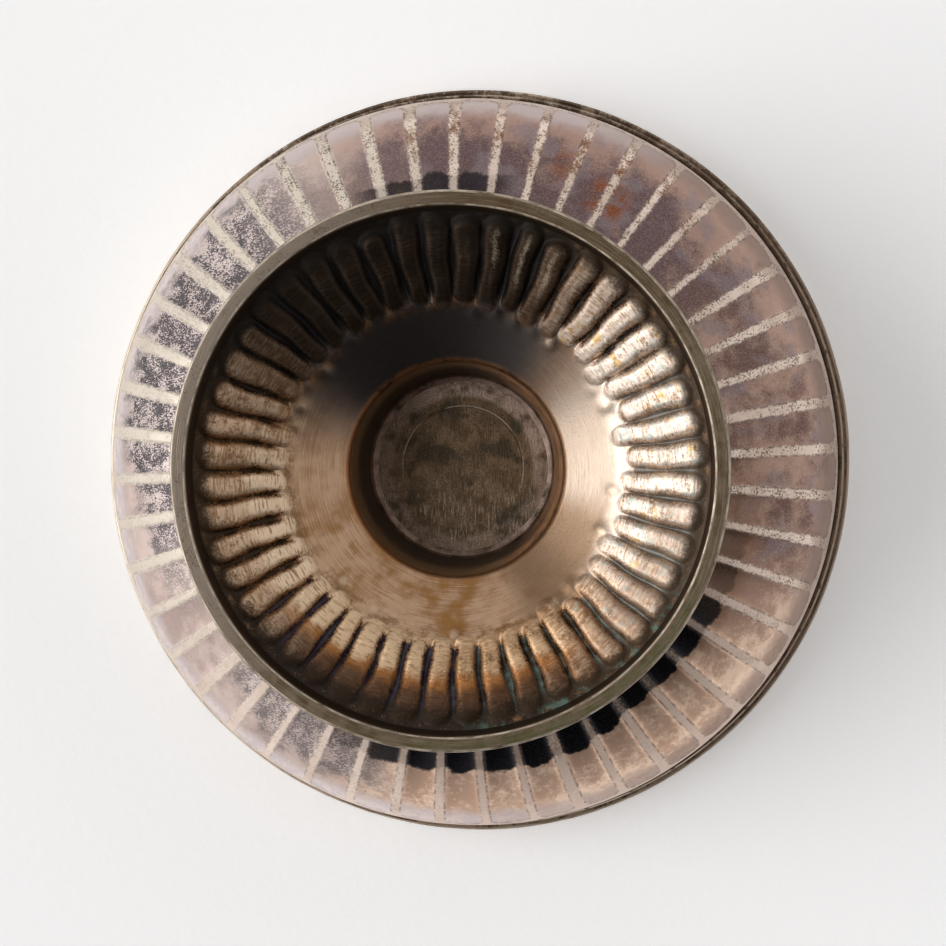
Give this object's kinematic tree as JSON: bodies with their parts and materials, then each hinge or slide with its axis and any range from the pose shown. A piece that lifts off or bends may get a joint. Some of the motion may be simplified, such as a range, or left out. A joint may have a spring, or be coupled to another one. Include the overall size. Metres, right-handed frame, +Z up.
{
  "type": "salt cellar",
  "caption": "Open footed salt cellar in tarnished silver: shallow round fluted bowl with a stepped rim on a spread, fluted, hollow foot with a flat foot ring.",
  "frame": {"origin": "centre of the foot ring's flat underside, on the axis", "axes": "+Z up along the bowl's axis; +X and +Y level, +X runs through the middle of one flute"},
  "size_m": [0.075, 0.075, 0.038],
  "materials": {
    "bowl_silver": "satin silver with pinkish brown tarnish in the flutes",
    "rim_silver": "worn satin silver",
    "foot_silver": "satin silver with brown tarnish",
    "ring_silver": "grey green patina with worn bright edges",
    "solder": "dull grey solder"
  },
  "bodies": {
    "root": {"bowl": "bowl_silver", "rim_moulding": "rim_silver", "foot": "foot_silver", "foot_ring": "ring_silver", "neck_solder": "solder"}
  },
  "joints": []
}
